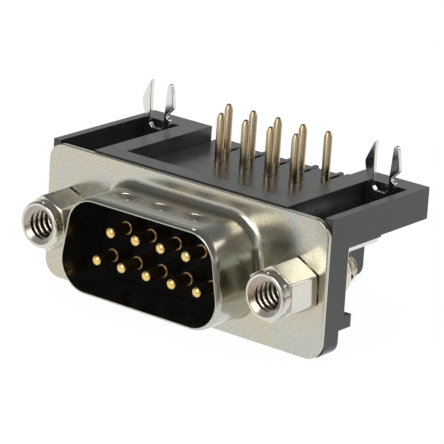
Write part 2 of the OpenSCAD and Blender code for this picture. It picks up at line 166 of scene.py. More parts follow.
class PlugStage(bpy.types.PropertyGroup):
    """Camera, floor and lamps."""

    lens: FloatProperty(
        name="Lens", description="Focal length in mm on a 36 mm sensor", default=247.5
    )
    key_power: power("Key light", "Power of the key light", 0.78)
    top_power: power("Top light", "Power of the small lamp behind on the left", 0.05)
    rear_power: power("Rear light", "Power of the lamp behind on the right", 0.15)
    sky: FloatProperty(
        name="Sky", description="Strength of the even light from all round", default=0.8
    )
    steps: IntProperty(
        name="Smoothness", description="Facets round a contact", default=32, min=8, max=128
    )


# Meshes


def grid_faces(rows, columns, close_rows, close_columns):
    """Quads of a grid of rows by columns points, joined end to end where a way closes."""
    i = np.arange(rows if close_rows else rows - 1)
    j = np.arange(columns if close_columns else columns - 1)
    i, j = [a.ravel() for a in np.meshgrid(i, j, indexing="ij")]
    i1 = (i + 1) % rows
    j1 = (j + 1) % columns
    return np.stack([i * columns + j, i1 * columns + j, i1 * columns + j1, i * columns + j1], axis=1)


def make_object(name, points, faces):
    """A mesh object from points and faces, at the origin of the frame."""
    mesh = bpy.data.meshes.new(name)
    mesh.from_pydata(np.asarray(points).tolist(), [], [list(map(int, f)) for f in faces])
    mesh.validate()
    obj = bpy.data.objects.new(name, mesh)
    bpy.context.scene.collection.objects.link(obj)
    return obj


def smooth_under(bm, degrees):
    """Shades every face smooth, and keeps each edge sharp that turns by this angle or more."""
    limit = np.radians(degrees)
    for face in bm.faces:
        face.smooth = True
    for edge in bm.edges:
        edge.smooth = len(edge.link_faces) == 2 and edge.calc_face_angle(0) < limit


def weld(obj, smooth_angle, gap=1e-7):
    """Merges doubled points, turns the faces outwards and smooths the edges under an angle."""
    bm = bmesh.new()
    bm.from_mesh(obj.data)
    bmesh.ops.remove_doubles(bm, verts=bm.verts, dist=gap)
    bmesh.ops.dissolve_degenerate(bm, dist=gap, edges=bm.edges)
    bmesh.ops.recalc_face_normals(bm, faces=bm.faces)
    smooth_under(bm, smooth_angle)
    bm.to_mesh(obj.data)
    bm.free()
    return obj


def revolve(name, profile, x, steps, cut, smooth_angle):
    """A turned piece about the line along Y at x.

    profile holds its (radius, along) points. cut, a function of radius, along and angle, returns
    the radius that is left there, which makes flats and threads.
    """
    angle = np.arange(steps) * TURN / steps
    r = np.repeat(profile[:, :1], steps, axis=1)
    y = np.repeat(profile[:, 1:], steps, axis=1)
    r = cut(r, y, angle[None, :])
    points = np.stack([x + r * np.cos(angle), y, r * np.sin(angle)], axis=-1)
    obj = make_object(name, points.reshape(-1, 3), grid_faces(len(profile), steps, False, True))
    return weld(obj, smooth_angle)


def bead(corners, step):
    """Points along a polyline of (radius, along) corners, at most a step apart."""
    corners = np.asarray(corners, float)
    out = [corners[:1]]
    for a, b in zip(corners[:-1], corners[1:]):
        n = max(1, int(np.ceil(np.linalg.norm(b - a) / step)))
        t = np.arange(1, n + 1)[:, None] / n
        out.append(a + (b - a) * t)
    return np.concatenate(out)


def smooth_min(a, b, soft):
    """The smaller of two values, with the corner between them rounded over a width."""
    h = np.clip(0.5 + 0.5 * (b - a) / soft, 0, 1)
    return b + (a - b) * h - soft * h * (1 - h)


def softened(node, name, edge):
    """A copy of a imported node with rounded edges: its flat triangles are joined, then bevelled."""
    doubled, flat_angle, sharp_angle = 2e-6, 1.0, 32
    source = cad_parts[node]
    obj = bpy.data.objects.new(name, source.data.copy())
    obj.data.materials.clear()
    bpy.context.scene.collection.objects.link(obj)
    bm = bmesh.new()
    bm.from_mesh(obj.data)
    bmesh.ops.remove_doubles(bm, verts=bm.verts, dist=doubled)
    bmesh.ops.dissolve_limit(
        bm, angle_limit=np.radians(flat_angle), verts=bm.verts, edges=bm.edges
    )
    smooth_under(bm, sharp_angle)
    bm.to_mesh(obj.data)
    bm.free()
    bevel = obj.modifiers.new("Rounded edges", "BEVEL")
    bevel.width = edge
    bevel.segments = 3
    bevel.limit_method = "ANGLE"
    bevel.angle_limit = np.radians(sharp_angle)
    bevel.use_clamp_overlap = True
    bevel.harden_normals = True
    return obj


def hand_in(obj, material, node):
    """Gives a finished piece its material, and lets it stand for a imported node."""
    obj.data.materials.append(material)
    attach(obj, ROOT)
    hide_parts(node)


def plate_where(obj, material, picks):
    """Gives one more material to the faces that a function of their middles picks."""
    mesh = obj.data
    mesh.materials.append(material)
    middles = np.empty(len(mesh.polygons) * 3)
    mesh.polygons.foreach_get("center", middles)
    slots = np.empty(len(mesh.polygons), np.int32)
    mesh.polygons.foreach_get("material_index", slots)
    slots[picks(middles.reshape(-1, 3))] = len(mesh.materials) - 1
    mesh.polygons.foreach_set("material_index", slots)


# Materials


def nodes_of(name):
    """A new material with its node tree and the Principled shader."""
    material = bpy.data.materials.new(name)
    material.use_nodes = True
    tree = material.node_tree
    return material, tree, tree.nodes["Principled BSDF"]


def feed(tree, socket, value):
    """Links a socket to another node's output, or sets it to a plain value."""
    if isinstance(value, bpy.types.NodeSocket):
        tree.links.new(value, socket)
    else:
        socket.default_value = value


def calc(tree, operation, *values):
    """A math node on outputs and plain values."""
    node = tree.nodes.new("ShaderNodeMath")
    node.operation = operation
    for socket, value in zip(node.inputs, values):
        feed(tree, socket, value)
    return node.outputs[0]


def calc_vector(tree, operation, vector, other, socket=1):
    """A vector math node on a vector and a second value, which goes to the given socket."""
    node = tree.nodes.new("ShaderNodeVectorMath")
    node.operation = operation
    feed(tree, node.inputs[0], vector)
    feed(tree, node.inputs[socket], other)
    return node.outputs["Value"] if operation in ("DISTANCE", "DOT_PRODUCT") else node.outputs[0]


def blend(tree, factor, a, b, kind="FLOAT"):
    """A mix of two outputs or plain values: a where the factor is 0, and b where it is 1."""
    node = tree.nodes.new("ShaderNodeMix")
    node.data_type = kind
    for name, value in (("Factor", factor), ("A", a), ("B", b)):
        feed(tree, node.inputs[name], value)
    return node.outputs["Result"]


def remap(tree, value, start, end, first=0.0, last=1.0, curve="LINEAR"):
    """Maps start to end onto first to last, and keeps what lies beyond at the ends."""
    node = tree.nodes.new("ShaderNodeMapRange")
    node.interpolation_type = curve
    for name, number in (("From Min", start), ("From Max", end), ("To Min", first), ("To Max", last)):
        node.inputs[name].default_value = number
    tree.links.new(value, node.inputs["Value"])
    return node.outputs["Result"]


def spread(tree, value, first, last):
    """Maps a noise, which lies mostly between 0.3 and 0.7, to a range of plain values."""
    return remap(tree, value, 0.3, 0.7, first, last)


def ramp(tree, value, stops):
    """A colour ramp of (place, colour) stops on a value."""
    node = tree.nodes.new("ShaderNodeValToRGB")
    elements = node.color_ramp.elements
    while len(elements) < len(stops):
        elements.new(0.5)
    for element, (place, shade) in zip(elements, stops):
        element.position = place
        element.color = (*shade, 1.0)
    tree.links.new(value, node.inputs["Fac"])
    return node.outputs["Color"]


def coordinate(tree, kind="Object"):
    """The place of a point on the object, or another coordinate by its name."""
    return tree.nodes.new("ShaderNodeTexCoord").outputs[kind]


def components(tree, vector):
    """The X, Y and Z of a vector."""
    node = tree.nodes.new("ShaderNodeSeparateXYZ")
    tree.links.new(vector, node.inputs[0])
    return node.outputs


def noise(tree, scale, detail=3.0, roughness=0.5, stretch=(1, 1, 1)):
    """A noise texture on Object coordinates; scale is in features per millimetre."""
    mapping = tree.nodes.new("ShaderNodeMapping")
    mapping.inputs["Scale"].default_value = stretch
    tree.links.new(coordinate(tree), mapping.inputs["Vector"])
    texture = tree.nodes.new("ShaderNodeTexNoise")
    texture.inputs["Scale"].default_value = scale / MM
    texture.inputs["Detail"].default_value = detail
    texture.inputs["Roughness"].default_value = roughness
    tree.links.new(mapping.outputs["Vector"], texture.inputs["Vector"])
    return texture.outputs["Fac"]


def bump(tree, height, depth_mm, under=None):
    """A bump of a height texture, its depth in millimetres, laid over another bump."""
    node = tree.nodes.new("ShaderNodeBump")
    node.inputs["Strength"].default_value = 1.0
    node.inputs["Distance"].default_value = depth_mm * MM
    tree.links.new(height, node.inputs["Height"])
    if under is not None:
        tree.links.new(under, node.inputs["Normal"])
    return node.outputs["Normal"]


def on_flange(tree):
    """1 on the flat flange and 0 on the drawn wall of the D, blended over the root."""
    return remap(tree, components(tree, coordinate(tree))["Y"], -0.9 * MM, -0.1 * MM)


def painted_shade_patch(tree):
    """A patch of painted shade on the flange to the right of the D: 0.55 in its middle and 1 beyond
    its end.
    """
    middle = [10.7 * MM, 0, 3.5 * MM]
    away = calc_vector(tree, "DISTANCE", coordinate(tree), middle)
    return remap(tree, away, 0.4 * MM, 2.8 * MM, 0.55, 1.0, "SMOOTHSTEP")


def plated_metal(name, shade, rough, tints, grain_mm, wave_mm, satin=0.0):
    """Plated sheet or bar: soft warm and cool clouds, a fine grain and a slight unevenness.

    satin is for the front shell: the roughness that its flange has on top of the drawn wall's.
    The flange then also has a coarser grain, which speckles its colour too, and a patch of
    painted shade darkens its colour to the right of the D.
    """
    _, tree, shader = nodes_of(name)
    base = np.array(shade)
    warm = np.clip(base * (1 + tints, 1 - tints * 0.3, 1 - tints * 1.3), 0, 1)
    cool = np.clip(base * (1 - tints * 0.7, 1, 1 + tints * 1.2), 0, 1)
    colours = ramp(tree, noise(tree, 0.28, 2.0), [(0.36, warm), (0.5, base), (0.64, cool)])
    roughness = spread(tree, noise(tree, 1.4, 4.0), rough * 0.85, rough * 1.2)
    grain = noise(tree, 5.0 if satin else 9.0)
    if satin:
        flange = on_flange(tree)
        roughness = calc(tree, "MULTIPLY_ADD", flange, satin, roughness)
        # the coarse grain speckles the flange's colour, and a patch of painted shade darkens it right
        # of the D
        grain_and_painted_shade = calc(tree, "MULTIPLY", spread(tree, grain, 0.86, 1.1), painted_shade_patch(tree))
        colours = calc_vector(tree, "SCALE", colours, grain_and_painted_shade, "Scale")
        grain = calc(tree, "MULTIPLY", flange, grain)
    shader.inputs["Metallic"].default_value = 1.0
    tree.links.new(colours, shader.inputs["Base Color"])
    tree.links.new(roughness, shader.inputs["Roughness"])
    waves = bump(tree, noise(tree, 0.5, 2.0), wave_mm)
    tree.links.new(bump(tree, grain, grain_mm, waves), shader.inputs["Normal"])


def moulded_plastic(name, shade, rough, gloss, grain_mm):
    """Glass-filled moulding: a fine mottle in colour and gloss, and a faint flow across it."""
    _, tree, shader = nodes_of(name)
    base = np.array(shade)
    mottle = ramp(tree, noise(tree, 3.0, 5.0, 0.6), [(0.35, base * 0.93), (0.65, base * 1.07)])
    flow = noise(tree, 0.5, stretch=(1, 3, 3))
    tree.links.new(mottle, shader.inputs["Base Color"])
    tree.links.new(spread(tree, flow, rough * 0.85, rough * 1.2), shader.inputs["Roughness"])
    shader.inputs["Specular IOR Level"].default_value = gloss
    tree.links.new(bump(tree, noise(tree, 7.0, 4.0), grain_mm), shader.inputs["Normal"])


def finishes():
    """The materials, made once."""
    look = bpy.context.scene.plug_finish
    if "Front plate" not in bpy.data.materials:
        # shade, roughness, tints, and the depths of grain and waves in millimetres
        plated_metal("Front plate", look.plate, 0.19, 0.05, 0.0021, 0.008, satin=0.02)
        plated_metal("Bright plate", look.bright_plate, 0.12, 0.03, 0.0004, 0.004)
        plated_metal("Screw plate", look.screw_plate, 0.13, 0.04, 0.0004, 0.002)
        # painted shade: this darker plate stands for the shade inside the threaded holes
        plated_metal("Shaded thread plate", look.shaded_thread_plate, 0.16, 0.06, 0.0006, 0.001)
        plated_metal("Gold plate", look.gold, 0.24, 0.05, 0.0006, 0.001)
        # painted shade: this darker gold stands for the shade on the pins' shafts in the D's mouth
        plated_metal("Shaded gold", look.shaded_gold, 0.3, 0.08, 0.0006, 0.001)
        plated_metal("Tail plate", look.tail, 0.2, 0.06, 0.0004, 0.001)
        # shade, roughness, gloss and the depth of the grain in millimetres
        moulded_plastic("Housing plastic", look.housing, 0.24, 0.6, 0.0009)
        moulded_plastic("Insulator plastic", look.insulator, 0.6, 0.1, 0.0015)
    return bpy.data.materials


# The front shell


def d_outline(sizes, side_steps, corner_steps):
    """The inside outline of the D, as points and outward normals in X and Z.

    Four arcs of the corner radius lie inside two level lines and two sloped ones, and the arcs
    are joined by straight runs. The angle runs from the top right corner, clockwise.
    """
    r = sizes.mouth_radius
    slope = np.tan(sizes.side_angle)
    turn = 1 / np.cos(sizes.side_angle)
    corner_z = sizes.mouth_height / 2 - r
    half = sizes.mouth_width / 2 - corner_z * slope + r * (turn - 1)
    top_x = half - corner_z * slope - r * turn
    low_x = half + corner_z * slope - r * turn
    a = sizes.side_angle

    def arc(cx, cz, start, end):
        t = np.linspace(start, end, corner_steps)
        n = np.stack([np.cos(t), np.sin(t)], axis=1)
        return np.array([cx, cz]) + r * n, n

    def run(p, q, n, steps):
        t = np.linspace(0, 1, steps + 2)[1:-1, None]
        return p + (q - p) * t, np.repeat(n[None], steps, axis=0)

    arcs = [
        arc(top_x, corner_z, RIGHT_ANGLE, a),
        arc(low_x, -corner_z, a, -RIGHT_ANGLE),
        arc(-low_x, -corner_z, -RIGHT_ANGLE, -2 * RIGHT_ANGLE - a),
        arc(-top_x, corner_z, 2 * RIGHT_ANGLE - a, RIGHT_ANGLE),
    ]
    points, normals = [], []
    for k, (p, n) in enumerate(arcs):
        q = arcs[(k + 1) % 4][0]
        points.append(p)
        normals.append(n)
        straight = run(p[-1], q[0], n[-1], side_steps if k in (1, 3) else corner_steps)
        points.append(straight[0])
        normals.append(straight[1])
    return np.concatenate(points), np.concatenate(normals)


def dimple_depth(sizes, x, y, normal_z):
    """Depth of the pressed dimples: three at the top of the D, and shallower ones at its bottom.

    A dimple is a bowl, 1 less the squares of u and v, all squared, so that its edge is soft. u and
    v are the distances from its middle in half widths and half lengths. A pit of the same form,
    narrower by pit_u and pit_v, has a share of the depth.
    """
    pit_share, pit_u, pit_v, bottom_share = 0.15, 3.2, 2.2, 0.4
    depth = np.zeros(np.broadcast(x, y).shape)
    for k in (-1, 0, 1):
        u = (x - k * sizes.dimple_pitch) / (sizes.dimple_width / 2)
        v = (y + sizes.dimple_place) / (sizes.dimple_length / 2)
        bowl = np.clip(1 - u**2 - v**2, 0, 1) ** 2
        pit = np.clip(1 - (pit_u * u) ** 2 - (pit_v * v) ** 2, 0, 1) ** 2
        depth = np.maximum(depth, (1 - pit_share) * bowl + pit_share * pit)
    at_top, at_bottom = normal_z > 0.999, normal_z < -0.999
    return sizes.dimple_depth * depth * np.where(at_top, 1, bottom_share * at_bottom)


def shell_section(sizes, reach):
    """The sheet's section as (grow, y): flange front, root, outer wall, lip, inner wall, flange back.

    The root is a quarter circle outside and a quarter ellipse inside, because drawing thins the
    wall. The lip is flat, with a quarter ellipse outside and a small quarter circle inside. The
    wall's points keep clear of those of the root and the lip.
    """
    t, wall, r = sizes.sheet, sizes.wall, sizes.root_radius
    middle = wall + r
    flat = middle + 0.2 * MM
    root_steps, wall_steps, lip_steps, clear = 14, 70, 16, 0.03 * MM
    outer_edge, inner_edge, rim_length = sizes.rim_outer, sizes.rim_inner, sizes.rim_length
    quarter = np.linspace(RIGHT_ANGLE, np.pi, root_steps)
    root_out = np.stack([middle + r * np.cos(quarter), -r + r * np.sin(quarter)], axis=1)
    root_in = np.stack([middle + middle * np.cos(quarter), -r + (r + t) * np.sin(quarter)], axis=1)
    over = np.linspace(0, RIGHT_ANGLE, lip_steps)
    soft = np.stack([np.cos(over), -np.sin(over)], axis=1)
    outer_lip = np.array([wall - outer_edge, -reach + rim_length]) + soft * [outer_edge, rim_length]
    inner_lip = np.array([inner_edge, -reach + inner_edge]) + inner_edge * soft[::-1] * [-1, 1]
    y = np.linspace(-r - clear, -reach + rim_length + clear, wall_steps)
    outer = np.stack([np.full_like(y, wall), y], axis=1)
    y = np.linspace(-reach + inner_edge + clear, -r - clear, wall_steps)
    inner = np.stack([np.zeros_like(y), y], axis=1)
    front, back = [[flat, 0]], [[flat, t]]
    return np.concatenate([front, root_out, outer, outer_lip, inner_lip, inner, root_in[::-1], back])


def round_rectangle(width, height, radius, steps, inset):
    """Outline of a rectangle with round corners, drawn in by an inset."""
    r = radius - inset
    points = []
    for k, (sx, sz) in enumerate([(1, 1), (-1, 1), (-1, -1), (1, -1)]):
        t = np.linspace(0, RIGHT_ANGLE, steps) + k * RIGHT_ANGLE
        centre = np.array([sx * (width / 2 - radius), sz * (height / 2 - radius)])
        points.append(centre + r * np.stack([np.cos(t), np.sin(t)], axis=1))
    return np.concatenate(points)


def circle(radius, steps, x):
    """Points of a circle in X and Z, centred at x."""
    t = np.arange(steps) * TURN / steps
    return np.stack([x + radius * np.cos(t), radius * np.sin(t)], axis=1)


def rim(outline, thickness, soft):
    """The rounded edge of a sheet: quarter rounds from the front face to the back.

    outline is a function of the inset that gives a closed outline in X and Z.
    """
    t = np.linspace(0, RIGHT_ANGLE, 5)
    inset = np.concatenate([soft * (1 - np.sin(t)), soft * (1 - np.cos(t))])
    y = np.concatenate([soft * (1 - np.cos(t)), thickness - soft + soft * np.sin(t)])
    loops = [np.insert(outline(i), 1, j, axis=1) for i, j in zip(inset, y)]
    return np.stack(loops)


def inside(points, outline):
    """Whether each point lies in a closed outline: a ray from it then crosses it oddly often."""
    a, b = outline, np.roll(outline, -1, axis=0)
    x, z = points[:, :1], points[:, 1:]
    spans = (a[:, 1] > z) != (b[:, 1] > z)
    rise = np.where(b[:, 1] == a[:, 1], 1.0, b[:, 1] - a[:, 1])
    crossing = x < (b[:, 0] - a[:, 0]) * (z - a[:, 1]) / rise + a[:, 0]
    return (spans & crossing).sum(axis=1) % 2 == 1


def flat_with_holes(outlines, y):
    """A flat face at y, bounded by the first outline and open inside the others."""
    points = [Vector(p) for outline in outlines for p in outline]
    edges = []
    for outline in outlines:
        first = len(edges)
        n = len(outline)
        edges += [(first + k, first + (k + 1) % n) for k in range(n)]
    corners, _, faces = delaunay_2d_cdt(points, edges, [], 0, 1e-9)[:3]
    corners = np.array([tuple(p) for p in corners])
    middles = corners[np.array(faces)].mean(axis=1)
    keep = ~np.any([inside(middles, hole) for hole in outlines[1:]], axis=0)
    return np.insert(corners, 1, y, axis=1), np.array(faces)[keep]


def build_shell(sizes):
    """The drawn shell and its flange as one closed sheet."""
    lo, hi = low("front_shell"), high("front_shell")
    side_steps, corner_steps, flange_steps, hole_steps = 150, 22, 14, 40
    soft, screw_room = 0.09 * MM, 0.15 * MM
    points, normals = d_outline(sizes, side_steps, corner_steps)
    section = shell_section(sizes, -lo[1])
    grow, y = section[:, 0][None, :], section[:, 1][None, :]
    x, z = points[:, 0][:, None], points[:, 1][:, None]
    nx, nz = normals[:, 0][:, None], normals[:, 1][:, None]
    grow = grow - dimple_depth(sizes, x, y, nz)
    drawn = np.stack([x + grow * nx, np.repeat(y, len(points), axis=0), z + grow * nz], axis=-1)

    screw_x = (low("screwlock_right")[0] + high("screwlock_right")[0]) / 2
    screw_hole = sizes.thread_radius + screw_room
    width, height = hi[0] - lo[0], hi[2] - lo[2]

    def outer(inset):
        return round_rectangle(width, height, sizes.flange_radius, flange_steps, inset)

    def hole(side):
        return lambda inset: circle(screw_hole + inset, hole_steps, side * screw_x)

    sheets = [rim(outer, sizes.sheet, soft)] + [rim(hole(s), sizes.sheet, soft) for s in (-1, 1)]
    parts = [(drawn.reshape(-1, 3), grid_faces(*drawn.shape[:2], True, False))]
    parts += [(s.reshape(-1, 3), grid_faces(*s.shape[:2], False, True)) for s in sheets]
    for end, level in ((0, 0.0), (-1, sizes.sheet)):
        outlines = [outer(soft), drawn[:, end][:, [0, 2]], hole(-1)(soft), hole(1)(soft)]
        parts.append(flat_with_holes(outlines, level))
    return join_parts("front_shell_sheet", parts)


def join_parts(name, parts):
    """One welded object from several (points, faces) parts that share their edges."""
    points, faces, start = [], [], 0
    sharp_angle, doubled = 40, 2e-7
    for p, f in parts:
        points.append(np.asarray(p))
        faces += [[start + int(i) for i in face] for face in f]
        start += len(p)
    return weld(make_object(name, np.concatenate(points), faces), sharp_angle, doubled)


class PLUG_OT_shell(bpy.types.Operator):
    """Build the drawn front shell with its flange and dimples"""

    bl_idname = "plug.shell"
    bl_label = "Front shell"

    def execute(self, context):
        obj = build_shell(context.scene.plug_sizes)
        hand_in(obj, finishes()["Front plate"], "front_shell")
        return {"FINISHED"}


# The mouldings


def fill_mouth(obj, grow):
    """Spreads the insulator's outline inside the D towards the sheet, so that no gap shows round it.

    Only the block's front part lies in the D, and only its rim moves: the points beyond a share of
    its half height or half width.
    """
    front_part, rim_height, rim_width = 0.45 * MM, 0.62, 0.86
    points = np.empty(len(obj.data.vertices) * 3)
    obj.data.vertices.foreach_get("co", points)
    points = points.reshape(-1, 3)
    front = points[:, 1] < front_part
    far = np.abs(points[front]).max(axis=0)
    share = np.abs(points) / far
    edge = front & ((share[:, 2] > rim_height) | (share[:, 0] > rim_width))
    points[edge] *= 1 + grow / far * [1, 0, 1]
    obj.data.vertices.foreach_set("co", points.ravel())


class PLUG_OT_mouldings(bpy.types.Operator):
    """Round the edges of the insulator, the rear housing and the tail spacer"""

    bl_idname = "plug.mouldings"
    bl_label = "Mouldings"

    def execute(self, context):
        edge = context.scene.plug_sizes.mould_edge
        block_edge, gap = 0.3 * edge, 0.045 * MM
        looks = finishes()
        block = softened("contact_insulator", "contact_insulator_block", block_edge)
        fill_mouth(block, gap)
        hand_in(block, looks["Insulator plastic"], "contact_insulator")
        names = {"rear_housing": "rear_housing_moulding", "tail_spacer": "tail_spacer_plate"}
        for node, name in names.items():
            hand_in(softened(node, name, edge), looks["Housing plastic"], node)
        return {"FINISHED"}


# The board locks


class PLUG_OT_locks(bpy.types.Operator):
    """Round the edges of the folded board locks and their threaded inserts"""

    bl_idname = "plug.locks"
    bl_label = "Board locks"

    def execute(self, context):
        edge = context.scene.plug_sizes.mould_edge
        sheet_edge = edge * 0.75
        looks = finishes()
        for side in ("left", "right"):
            lock = softened("board_lock_" + side, "board_lock_sheet_" + side, sheet_edge)
            hand_in(lock, looks["Bright plate"], "board_lock_" + side)
            insert = softened("threaded_insert_" + side, "threaded_insert_collar_" + side, edge)
            hand_in(insert, looks["Screw plate"], "threaded_insert_" + side)
        return {"FINISHED"}


# The screwlocks


def thread_wave(phase):
    """A thread's height, 0 in the groove and 1 on the crest.

    Both have a flat. The slope between is a straight line, softened by a share of an S curve.
    """
    flat, soft = 0.14, 0.35
    saw = np.abs((phase % 1.0) * 2 - 1)
    slope = np.clip((saw - flat) / (1 - 2 * flat), 0, 1)
    return soft * slope**2 * (3 - 2 * slope) + (1 - soft) * slope


def screwlock_sizes(sizes, side):
    """The radii and places of a screwlock, in metres, by name."""
    node = "screwlock_" + side
    lo, hi = low(node), high(node)
    front = lo[1]
    flat = sizes.hex_flats / 2
    return SimpleNamespace(
        x=(lo[0] + hi[0]) / 2,
        front=front,
        back=hi[1],
        flat=flat,
        corner=flat / np.cos(np.pi / 6),
        turn=sizes.turn_left if side == "left" else sizes.turn_right,
        hex_front=front + sizes.collar,
        hex_edge=0.05 * MM,
        floor=front + 4.0 * MM,
        drill_point=0.35 * MM,
        gap=0.14 * MM,
        core=sizes.hole_radius,
        groove=sizes.groove_radius,
        mouth=sizes.mouth_cone,
        ring=sizes.mouth_cone + sizes.ring_width,
        crest=sizes.thread_radius,
        thread_depth=0.34 * MM,
        pitch=sizes.thread_pitch,
    )


def screwlock_profile(lock):
    """The (radius, along) points of a screwlock, and which lie in its bore, hexagon and screw.

    They run from the bottom of the hole, out of its mouth, over the ring, the collar and the
    hexagon, and along the screw. The hexagon's run is proud of its corners, for the flats to cut.
    """
    fine, proud, chamfer = 0.03 * MM, 0.02 * MM, 0.3 * MM
    collar_radius, neck_radius = lock.flat - 0.04 * MM, lock.flat - 0.1 * MM
    rear_radius, rear_chamfer = lock.corner - 0.1 * MM, 0.08 * MM
    widest, core, floor = lock.corner + proud, lock.core, lock.floor
    hole = bead([(1e-6, floor + lock.drill_point), (core * 0.98, floor), (core, floor)], 0.2 * MM)
    bore = bead([(core, floor), (core, lock.front)], fine)[1:]
    fall = [(0, 0), (0.05, 0.01), (0.1, 0.04), (0.15, 0.09), (0.18, 0.16), (0.2, 0.25)]
    lip = np.array([lock.ring, lock.front]) + MM * np.array(fall)
    collar = bead([lip[-1], (collar_radius, lock.hex_front - 0.01 * MM)], 0.1 * MM)[1:]
    shoulder = bead([(collar_radius, lock.hex_front), (widest, lock.hex_front)], fine)
    t = np.linspace(0, RIGHT_ANGLE, 5)[1:]
    along = lock.hex_front + lock.hex_edge * (1 - np.cos(t))
    edge = np.stack([np.full_like(along, widest), along], axis=1)
    rear = [
        edge[-1],
        (widest, -lock.gap - rear_chamfer),
        (rear_radius, -lock.gap),
        (neck_radius, -lock.gap),
        (neck_radius, 0),
    ]
    hexagon = np.concatenate([shoulder, edge, bead(rear, 0.06 * MM)[1:]])
    screw = [
        (lock.crest, 0),
        (lock.crest, lock.back - chamfer),
        (lock.crest - chamfer, lock.back),
        (1e-6, lock.back),
    ]
    parts = {
        "hole": hole,
        "bore": bore,
        "mouth": [(lock.mouth + proud, lock.front)],
        "lip": lip,
        "collar": collar,
        "hexagon": hexagon,
        "screw": bead(screw, fine),
    }
    names = np.repeat(list(parts), [len(part) for part in parts.values()])
    return np.concatenate(list(parts.values())), {name: (names == name)[:, None] for name in parts}


def build_screwlock(sizes, side):
    """A hexagon with a collar and a threaded hole in front and a screw behind: one closed surface.

    The hexagon's flats keep the radius to flat / cos(angle), drawn in by a quarter round at their
    front edges. Each thread is a helical wave of its depth, and the hole's mouth a steep cone.
    """
    lock = screwlock_sizes(sizes, side)
    profile, within = screwlock_profile(lock)
    run_out, cone_slope = 0.3 * MM, 2.2
    corner_cut, corner_soft, edge_share, edge_soft = 0.03 * MM, 0.09 * MM, 0.8, 0.04 * MM
    steps, sharp_angle = 192, 30

    def cut(r, y, angle):
        wrapped = (angle - lock.turn + np.pi / 6) % (np.pi / 3) - np.pi / 6
        flats = smooth_min(lock.flat / np.cos(wrapped), lock.corner - corner_cut, corner_soft)
        ahead = np.clip(1 - (y - lock.hex_front) / lock.hex_edge, 0, 1)
        flats = flats - lock.hex_edge * (1 - np.sqrt(1 - ahead**2)) * edge_share
        wave = thread_wave(y / lock.pitch + angle / TURN)
        to_floor = np.clip((lock.floor - y) / run_out, 0, 1)
        tapped = lock.core + (lock.groove - lock.core) * (1 - wave) * to_floor
        cone = lock.mouth - cone_slope * (y - lock.front)
        from_head = np.clip((y - run_out) / run_out, 0, 1)
        threaded = np.minimum(r, lock.crest - lock.thread_depth * (1 - wave) * from_head)
        r = np.where(within["hexagon"], smooth_min(r, flats, edge_soft), r)
        r = np.where(within["screw"] & (y > 0.0), threaded, r)
        return np.where(within["bore"], np.maximum(tapped, cone), r)

    return revolve("screwlock_body_" + side, profile, lock.x, steps, cut, sharp_angle)


class PLUG_OT_screwlocks(bpy.types.Operator):
    """Turn the hexagonal screwlocks with their threads"""

    bl_idname = "plug.screwlocks"
    bl_label = "Screwlocks"

    def execute(self, context):
        sizes, looks = context.scene.plug_sizes, finishes()
        for side in ("left", "right"):
            lock = screwlock_sizes(sizes, side)
            obj = build_screwlock(sizes, side)
            hand_in(obj, looks["Screw plate"], "screwlock_" + side)

            def in_hole(p):
                return (np.hypot(p[:, 0] - lock.x, p[:, 2]) < lock.mouth - 0.02 * MM) & (p[:, 1] < 0)

            # painted shade: the faces inside the threaded hole get the darkened plate
            plate_where(obj, looks["Shaded thread plate"], in_hole)
        return {"FINISHED"}


# The contacts


def contact_path(sizes, node):
    """Middle line and radius of a contact: a domed pin, its shoulder, a bend and a rounded tail.

    The points are (y, z, radius): along Y to the bend, a quarter circle, then up along Z.
    """
    lo, hi = low(node), high(node)
    pin, wire, body = sizes.pin_diameter / 2, sizes.tail_diameter / 2, (hi[0] - lo[0]) / 2
    z, tail_y, tip = lo[2] + body, hi[1] - wire, hi[2]
    shoulder, thick_end, bend = -2.5 * MM, 4.9 * MM, 0.9 * MM
    nose_length, tip_length, tip_radius, taper = 0.27 * MM, 0.16 * MM, 0.62 * wire, 0.5 * MM
    fine, hair = 0.02 * MM, 1e-7
    nose_steps, bend_steps, cap_steps = 11, 14, 7

    t = np.linspace(0, RIGHT_ANGLE, nose_steps)
    y = lo[1] + nose_length * (1 - np.cos(t))
    nose = np.stack([y, np.full_like(y, z), np.maximum(pin * np.sin(t), hair)], axis=1)
    rise = [(0, 0), (0.004, 0.1), (0.02, 0.84), (0.035, 0.95), (0.07, 1)]
    ledge = [(shoulder + along * MM, z, pin + share * (body - pin)) for along, share in rise]
    trunk = [
        (nose[-1, 0] + fine, z, pin),
        (shoulder - fine, z, pin),
        *ledge,
        (shoulder + 0.2 * MM, z, body),
        (thick_end, z, body),
        (thick_end, z, wire),
    ]
    t = np.linspace(0, RIGHT_ANGLE, bend_steps)
    middle = np.array([tail_y - bend, z + bend])
    turn = np.insert(middle + bend * np.stack([np.sin(t), -np.cos(t)], axis=1), 2, wire, axis=1)
    t = np.linspace(0, RIGHT_ANGLE, cap_steps)
    up = tip - tip_length + tip_length * np.sin(t)
    cap = np.stack([np.full_like(up, tail_y), up, np.maximum(tip_radius * np.cos(t), hair)], axis=1)
    return np.concatenate([nose, trunk, turn, [(tail_y, tip - taper, wire)], cap])


def build_contact(sizes, node, steps):
    """A tube carried along the contact's path; its rings stand square to the path."""
    sharp_angle = 40
    path = contact_path(sizes, node)
    x = (low(node)[0] + high(node)[0]) / 2
    y, z, radius = path[:, :1], path[:, 1:2], path[:, 2:]
    step = np.gradient(path[:, :2], axis=0)
    step /= np.maximum(np.linalg.norm(step, axis=1), 1e-12)[:, None]
    angle = np.arange(steps) * TURN / steps
    across, up = radius * np.cos(angle), radius * np.sin(angle)
    points = np.stack([x + across, y - up * step[:, 1:], z + up * step[:, :1]], axis=-1)
    faces = grid_faces(len(path), steps, False, True)
    return weld(make_object(node + "_wire", points.reshape(-1, 3), faces), sharp_angle)


